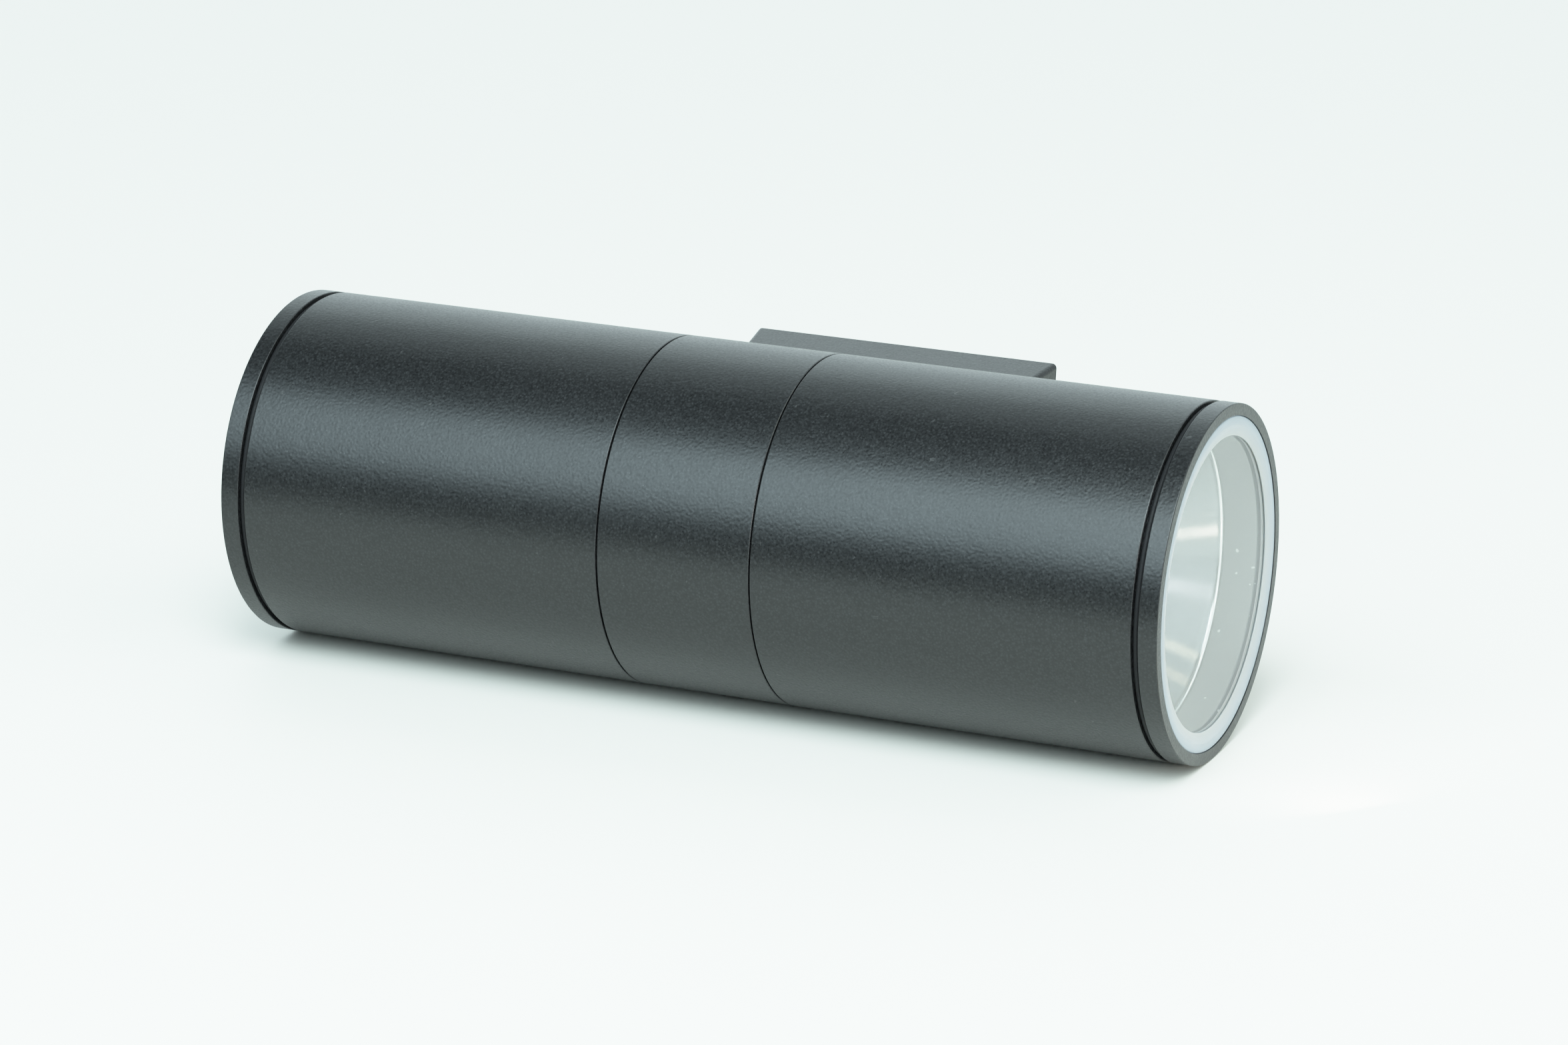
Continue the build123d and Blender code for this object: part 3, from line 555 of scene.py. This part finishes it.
# ------------------------------------------------------------------ turned pieces of both ends
L = 153.0
for end, sgn in (("upper", 1), ("lower", -1)):
    # tube: coated outside and on its ends, bare inside
    prof = rounded([
        (52.0, 25.25, 0.1), (54.0, 25.25, 0.28), (54.0, 27.0), (54.0, 32.0), (54.0, 145.0, 0.4), (52.0, 145.0, 0.25),
        (52.0, 32.0), (52.0, 27.0)], 5)
    tube = revolve(f"{end}_tube_shell", prof, sgn, mats=[mat_coat, mat_bare],
                   slot_of=lambda r, s: 1 if r < 52.3 and 25.5 < s < 144.5 else 0)
    drill(tube, (0, AX + 0.0530, 0.0295 * sgn), 0.00205, 0.006)
    stand_for(tube, f"{end}_tube")

    # bezel: coated lip and face, bare threaded skirt
    root, crest, pitch = 51.0, 51.93, 2.0
    s_lo, s_hi = 134.0, 143.4
    prof = rounded([
        (49.2, s_lo, 0.2), (root, s_lo, 0.3), (root, s_hi), (51.2, 143.6), (51.2, 147.1, 0.1),
        (54.0, 147.1, 0.3), (54.0, L, 0.3), (50.35, L, 0.12), (50.35, 146.8), (45.9, 146.8, 0.15),
        (45.9, 145.5, 0.15), (49.2, 145.5, 0.3)], 5)
    bezel = revolve(f"{end}_bezel_ring", prof, sgn, mats=[mat_coat, mat_thread],
                    slot_of=lambda r, s: 1 if (s < 145.4) or (r < 51.3 and s < 146.95) else 0)
    stand_for(bezel, f"{end}_bezel")

    # its thread, a real helix standing on the skirt
    bm = bmesh.new()
    rows_per_pitch, turn_segs = 10, 192
    ds = pitch / rows_per_pitch
    n_rows = int((s_hi - s_lo - 0.8) / ds) + rows_per_pitch
    shape = [0.0, 0.0, 0.25, 0.62, 0.95, 1.0, 0.95, 0.62, 0.25, 0.0]
    grid = []
    lo, hi = s_lo + 0.5, s_hi - 0.3
    for j in range(turn_segs + 1):
        a = 2 * math.pi * j / turn_segs
        col = []
        for k in range(-rows_per_pitch, n_rows + 1):
            s = lo + ds * k + pitch * j / turn_segs
            h = shape[k % rows_per_pitch]
            fade = max(0.0, min(1.0, (s - lo) / 0.9, (hi - s) / 0.9))
            sc = min(max(s, lo), hi)
            r = root - 0.02 + (crest - root + 0.02) * h * fade
            col.append(bm.verts.new(mm_point(r, a * sgn, sc, sgn)))
        grid.append(col)
    for j in range(turn_segs):
        for k in range(len(grid[0]) - 1):
            loop = [grid[j][k], grid[j + 1][k], grid[j + 1][k + 1], grid[j][k + 1]]
            bm.faces.new(loop)
    bmesh.ops.remove_doubles(bm, verts=bm.verts, dist=2e-6)
    bmesh.ops.dissolve_degenerate(bm, edges=bm.edges, dist=1e-6)
    bmesh.ops.recalc_face_normals(bm, faces=bm.faces)
    helix = finish_mesh(f"{end}_bezel_thread", bm, 50, [mat_thread])
    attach(helix, body_of_node(f"{end}_bezel"))

    # gasket: milky U round the glass, the front leg slopes down to the opening
    prof = rounded([
        (44.27, 152.0, 0.12), (47.6, 152.75, 0.8), (49.95, 152.82, 0.25), (50.3, 152.6, 0.15), (50.3, 146.8, 0.1), (45.66, 146.8, 0.05),
        (45.66, 147.58, 0.05), (49.1, 147.6), (49.1, 151.6), (44.27, 151.6, 0.1)], 5)
    gasket = revolve(f"{end}_gasket_ring", prof, sgn, mats=[mat_silicone])
    stand_for(gasket, f"{end}_glass_gasket")

    # glass
    prof = rounded([(0, 147.6), (49.1, 147.6, 0.35), (49.1, 151.6, 0.35), (0, 151.6)], 3)
    glass = revolve(f"{end}_glass_disc", prof, sgn, mats=[mat_glass])
    stand_for(glass, f"{end}_glass")

    # seal ring in the groove
    prof = [(52.2 + 0.93 * math.cos(2 * math.pi * k / 28), 146.05 + 0.93 * math.sin(2 * math.pi * k / 28)) for k in range(28)]
    ring = revolve(f"{end}_seal_ring", prof, sgn, sharp=80, mats=[mat_rubber])
    stand_for(ring, f"{end}_bezel_seal")

    # sleeve
    top = 147.57
    prof = rounded([
        (45.7, 135.0), (48.6, 135.0, 0.15), (48.6, 136.0, 0.3), (45.6, 136.0, 0.3), (45.6, top, 0.06),
        (44.4, top, 0.08), (44.4, 135.95, 0.1), (45.4, 135.65)], 4)
    # its top end takes the lighter colour, painted light against the gasket's shade
    sleeve = revolve(f"{end}_sleeve_tube", prof, sgn, mats=[mat_sleeve, mat_sleeve_end_painted_light],
                     slot_of=lambda r, s: 1 if s > 147.1 else 0)
    stand_for(sleeve, f"{end}_sleeve")

    # reflector: spun bowl with a rolled rim
    def arc3(p0, pm, p1, n):
        ax_, ay, bx, by, cx, cy = *p0, *pm, *p1
        d = 2 * (ax_ * (by - cy) + bx * (cy - ay) + cx * (ay - by))
        ux = ((ax_**2 + ay**2) * (by - cy) + (bx**2 + by**2) * (cy - ay) + (cx**2 + cy**2) * (ay - by)) / d
        uy = ((ax_**2 + ay**2) * (cx - bx) + (bx**2 + by**2) * (ax_ - cx) + (cx**2 + cy**2) * (bx - ax_)) / d
        rr = math.hypot(ax_ - ux, ay - uy)
        a0, am, a1 = (math.atan2(q[1] - uy, q[0] - ux) for q in (p0, pm, p1))
        d1 = (a1 - a0 + math.pi) % (2 * math.pi) - math.pi
        return [(ux + rr * math.cos(a0 + d1 * t / n), uy + rr * math.sin(a0 + d1 * t / n)) for t in range(n + 1)]
    rim = 135.6
    inner = arc3((14.0, 94.0), (30.2, 114.3), (43.85, rim - 1.15), 60)
    bead = arc3((43.85, rim - 1.15), (44.3, rim - 0.3), (45.1, rim - 0.08), 12) + [(45.5, rim - 0.35), (45.7, rim - 0.6)]
    outer = arc3((46.0, rim - 1.6), (32.0, 114.9), (17.0, 94.0), 40)
    prof = inner + bead[1:] + [(48.3, rim - 0.6), (48.6, rim - 0.75), (48.6, rim - 1.5), (48.5, rim - 1.6)] + outer
    # the rim bead takes the brighter copy as a painted highlight, and the bowl takes the darkened one as painted shade
    bowl = revolve(f"{end}_reflector_bowl", prof, sgn, sharp=45, mats=[mat_reflector_painted_shade, mat_rim_painted_highlight],
                   slot_of=lambda r, s: 1 if s > rim - 1.15 and r > 43.8 else 0)
    stand_for(bowl, f"{end}_reflector")

# ------------------------------------------------------------------ carried-over pieces get their finish
finish = {
    "centre_casting": mat_coat, "wall_box": mat_coat, "wall_seal": mat_rubber, "arm_gasket": mat_rubber,
    "lead_bush": mat_rubber, "wall_bracket": mat_zinc, "driver_plate": mat_zinc, "driver_case": mat_driver,
    "driver_cover": mat_driver, "driver_board": mat_circuit, "terminal_block": mat_holder,
    "terminal_barrels": mat_tin, "terminal_screws": mat_steel, "live_lead": mat_live,
    "neutral_lead": mat_neutral, "earth_lead": mat_earth, "earth_lug": mat_lug, "earth_screw": mat_steel,
    "side_screws": mat_steel, "arm_screws": mat_steel, "driver_screws": mat_steel, "driver_plate_screws": mat_steel,
}
for end in ("upper", "lower"):
    finish.update({
        f"{end}_tube_screw": mat_steel, f"{end}_heat_sink": mat_bare, f"{end}_heat_sink_screws": mat_steel,
        f"{end}_holder_screws": mat_steel, f"{end}_led_holder": mat_holder, f"{end}_led_module": mat_module,
        f"{end}_led_leads": mat_wire_white, f"{end}_standoffs": mat_brass, f"{end}_tube_seal": mat_rubber,
    })
for n, mat in finish.items():
    me = nodes[n].data
    me.materials.clear()
    me.materials.append(mat)
    for p in me.polygons:
        p.material_index = 0

# ------------------------------------------------------------------ stage
def stage_floor():
    m = bpy.data.materials.new("stage_paper")
    m.use_nodes = True
    nt = m.node_tree
    nt.nodes.clear()
    out = nt.nodes.new("ShaderNodeOutputMaterial")
    p = nt.nodes.new("ShaderNodeBsdfPrincipled")
    p.inputs["Base Color"].default_value = (0.87, 0.86, 0.80, 1)
    p.inputs["Roughness"].default_value = 0.55
    p.inputs["Specular IOR Level"].default_value = 0.25
    clear = nt.nodes.new("ShaderNodeBsdfTransparent")
    geo = nt.nodes.new("ShaderNodeNewGeometry")
    mix = nt.nodes.new("ShaderNodeMixShader")
    nt.links.new(geo.outputs["Backfacing"], mix.inputs[0])
    nt.links.new(p.outputs[0], mix.inputs[1])
    nt.links.new(clear.outputs[0], mix.inputs[2])
    nt.links.new(mix.outputs[0], out.inputs["Surface"])
    me = bpy.data.meshes.new("stage_floor")
    corners = [lay_point(u, v, -0.0541) for u, v in ((-6.0, -0.40), (6.0, -0.40), (6.0, 7.0), (-6.0, 7.0))]
    me.from_pydata([tuple(c) for c in corners], [], [(0, 1, 2, 3)])
    me.materials.append(m)
    ob = bpy.data.objects.new("stage_floor", me)
    bpy.context.scene.collection.objects.link(ob)
    up = lay(0, 0, 1)
    if me.polygons[0].normal.dot(up) < 0:
        me.flip_normals()
    return ob


stage_floor()


def soft_light(name, pos, target, size, power, color=(1, 1, 1), size_y=None, spread=180):
    """An area light in the lying frame, pointing at target."""
    d = bpy.data.lights.new(name, "AREA")
    d.shape = "RECTANGLE" if size_y else "DISK"
    d.size = size
    if size_y:
        d.size_y = size_y
    d.energy = power
    d.color = color
    d.spread = math.radians(spread)
    ob = bpy.data.objects.new(name, d)
    bpy.context.scene.collection.objects.link(ob)
    p = lay_point(*pos)
    t = lay_point(*target)
    z = (p - t).normalized()
    up = lay(0, 0, 1)
    if abs(z.dot(up)) > 0.98:
        up = lay(0, 1, 0)
    x = up.cross(z).normalized()
    y = z.cross(x)
    ob.matrix_world = Matrix(((x.x, y.x, z.x, p.x), (x.y, y.y, z.y, p.y), (x.z, y.z, z.z, p.z), (0, 0, 0, 1)))
    return ob


def world(patches):
    """Studio surroundings as soft-edged patches of light. theta is measured from straight up across the tubes
    (camera side negative), psi is the elevation towards the right-hand end, both in degrees."""
    w = bpy.data.worlds.new("studio")
    bpy.context.scene.world = w
    w.use_nodes = True
    nt = w.node_tree
    nt.nodes.clear()
    new, link = nt.nodes.new, nt.links.new
    out = new("ShaderNodeOutputWorld")
    co = new("ShaderNodeTexCoord").outputs["Generated"]

    def dot(vec):
        n = new("ShaderNodeVectorMath")
        n.operation = "DOT_PRODUCT"
        link(co, n.inputs[0])
        n.inputs[1].default_value = vec
        return n.outputs["Value"]

    def m(op, a, b=None):
        n = new("ShaderNodeMath")
        n.operation = op
        for i, v in enumerate((a, b)):
            if isinstance(v, (int, float)):
                n.inputs[i].default_value = v
            elif v is not None:
                link(v, n.inputs[i])
        return n.outputs[0]

    def step(x, at, soft, rising):
        n = new("ShaderNodeMapRange")
        n.interpolation_type = "SMOOTHSTEP"
        link(x, n.inputs["Value"])
        n.inputs["From Min"].default_value = at - soft
        n.inputs["From Max"].default_value = at + soft
        n.inputs["To Min"].default_value = 0.0 if rising else 1.0
        n.inputs["To Max"].default_value = 1.0 if rising else 0.0
        return n.outputs[0]
    theta = m("MULTIPLY", m("ARCTAN2", dot(lay(0, 1, 0)), dot(lay(0, 0, 1))), 180 / math.pi)
    psi = m("MULTIPLY", m("ARCSINE", dot(lay(1, 0, 0))), 180 / math.pi)
    total = None
    for t0, t1, p0, p1, soft, level, tint in patches:
        f = m("MULTIPLY", m("MULTIPLY", step(theta, t0, soft, True), step(theta, t1, soft, False)),
              m("MULTIPLY", step(psi, p0, soft, True), step(psi, p1, soft, False)))
        v = new("ShaderNodeVectorMath")
        v.operation = "SCALE"
        v.inputs[0].default_value = [level * c for c in tint]
        link(f, v.inputs["Scale"])
        if total is None:
            total = v.outputs[0]
        else:
            add = new("ShaderNodeVectorMath")
            add.operation = "ADD"
            link(total, add.inputs[0])
            link(v.outputs[0], add.inputs[1])
            total = add.outputs[0]
    lit = new("ShaderNodeBackground")
    link(total, lit.inputs[0])
    seen = new("ShaderNodeBackground")
    seen.inputs[0].default_value = (1.08, 1.42, 1.32, 1)
    path = new("ShaderNodeLightPath")
    mix = new("ShaderNodeMixShader")
    link(path.outputs["Is Camera Ray"], mix.inputs[0])
    link(lit.outputs[0], mix.inputs[1])
    link(seen.outputs[0], mix.inputs[2])
    link(mix.outputs[0], out.inputs[0])
    return w


COOL = (0.79, 1.0, 1.06)
PALE = (0.84, 1.0, 1.02)
world([
    # theta0, theta1, psi0, psi1, softness, radiance, tint
    (-71, -29, -32, -2, 3, 5.5, COOL),        # large softbox on the camera's side
    (-55, -15, 2, 24, 4, 5.0, PALE),          # higher and to the right
    (-27, 92, -60, 90, 4, 0.02, PALE),
    (60, 92, -60, 12, 3, 1.5, PALE),          # bright wall behind, low
    (45, 60, -60, 12, 3, 1.72, PALE),
    (18, 45, -60, 12, 3, 0.80, PALE),
    (30, 92, 12, 60, 6, 0.8, PALE),           # behind, to the right
    (0, 92, 50, 95, 4, 0.5, PALE),            # right-hand end
    (-92, 42, 27, 95, 4, 1.40, PALE),
    (-128, -92, 20, 75, 4, 1.0, PALE),
    (94, 182, -95, 95, 2, 1.2, PALE),         # from below, where no table is in the way
    (-182, -128, -95, 95, 2, 1.2, PALE),
    (-72, -27, -60, -32, 4, 0.3, COOL),
    (-92, 92, -95, -60, 4, 0.4, PALE),        # left-hand end
])


def direction(theta, psi):
    """Unit direction of the lying frame: theta from up towards away, psi to the right."""
    t, p = math.radians(theta), math.radians(psi)
    return Vector((math.sin(p), math.cos(p) * math.sin(t), math.cos(p) * math.cos(t)))


def softbox(name, theta, psi, half_t, half_p, dist, radiance, color):
    """A large soft light near the lamp, so that the table is brightest in front of it."""
    ht = 2 * dist * math.tan(math.radians(half_t))
    hp = 2 * dist * math.tan(math.radians(half_p))
    ob = soft_light(name, tuple(direction(theta, psi) * dist), (0, 0, 0), hp, radiance * math.pi * hp * ht, color, ht)
    ob.visible_camera = False
    return ob


softbox("softbox_right", -35, 13, 18, 10, 1.1, 10.0, PALE)


def lamp(name, theta, psi, half_t, half_p, radiance, color, start=(0.131, 0.0, 0.0), dist=1.3):
    """A small lamp that draws one streak in the reflector: seen from start in the given direction."""
    d = direction(theta, psi)
    hp = 2 * dist * math.tan(math.radians(half_t))
    hl = 2 * dist * math.tan(math.radians(half_p))
    pos = Vector(start) + d * dist
    ob = soft_light(name, tuple(pos), start, hl, radiance * math.pi * hp * hl, color, hp)
    ob.visible_camera = False
    return ob


WARM = (1.0, 0.88, 0.66)
lamp("lamp_low_front", -122, 43.5, 2.4, 5, 14.0, WARM, (0.131, 0.0414, 0.003), 0.115)
lamp("lamp_front_a", -65.5, 66, 0.8, 5, 50.0, (1, 1, 1))
lamp("lamp_front_b", -55.0, 66, 0.8, 5, 50.0, (1, 1, 1))
lamp("lamp_over_a", -1, 40, 2.4, 4, 10.0, (1.0, 0.93, 0.60))
lamp("lamp_over_b", 23, 31, 2.0, 4, 8.0, (1.0, 0.88, 0.56))

# ------------------------------------------------------------------ camera
R = 0.054
cam_data = bpy.data.cameras.new("camera")
cam_data.sensor_fit = "HORIZONTAL"
cam_data.sensor_width = 36.0
cam_data.lens = 123.80
cam_data.clip_start = 0.05
cam_data.clip_end = 50.0
cam = bpy.data.objects.new("camera", cam_data)
bpy.context.scene.collection.objects.link(cam)
YAW, PITCH, ROLL = 0.41237, 0.28994, 0.011953
fwd = Vector((-math.sin(YAW) * math.cos(PITCH), math.cos(YAW) * math.cos(PITCH), -math.sin(PITCH)))
right = Vector((math.cos(YAW), math.sin(YAW), 0))
up = right.cross(fwd)
r2 = right * math.cos(ROLL) + up * math.sin(ROLL)
u2 = -right * math.sin(ROLL) + up * math.cos(ROLL)
cx, cy, cz = lay(*r2), lay(*u2), -lay(*fwd)
loc = lay_point(11.9172 * R, -26.7094 * R, 8.7125 * R)
cam.matrix_world = Matrix(((cx.x, cy.x, cz.x, loc.x), (cx.y, cy.y, cz.y, loc.y), (cx.z, cy.z, cz.z, loc.z), (0, 0, 0, 1)))
bpy.context.scene.camera = cam

sc = bpy.context.scene
sc.view_settings.view_transform = "Standard"
sc.view_settings.look = "None"
sc.view_settings.exposure = 0.0
sc.view_settings.gamma = 1.0


def film_shoulder(k, white, p=3.0):
    """Display curve, straight at first with a soft shoulder, so that the pale table keeps its tone."""
    vs = sc.view_settings
    vs.use_curve_mapping = True
    cm = vs.curve_mapping
    cm.black_level = (0, 0, 0)
    cm.white_level = (white, white, white)
    c = cm.curves[3]
    xs = [0.0, 0.02, 0.05, 0.09, 0.13, 0.17, 0.21, 0.26, 0.32, 0.39, 0.48, 0.60, 0.78, 1.0]
    ys = [k * white * x / (1 + (k * white * x) ** p) ** (1 / p) for x in xs]
    c.points[0].location = (xs[0], ys[0])
    c.points[1].location = (xs[-1], ys[-1])
    for x, y in zip(xs[1:-1], ys[1:-1]):
        c.points.new(x, y)
    cm.update()


film_shoulder(1.1, 4.0)
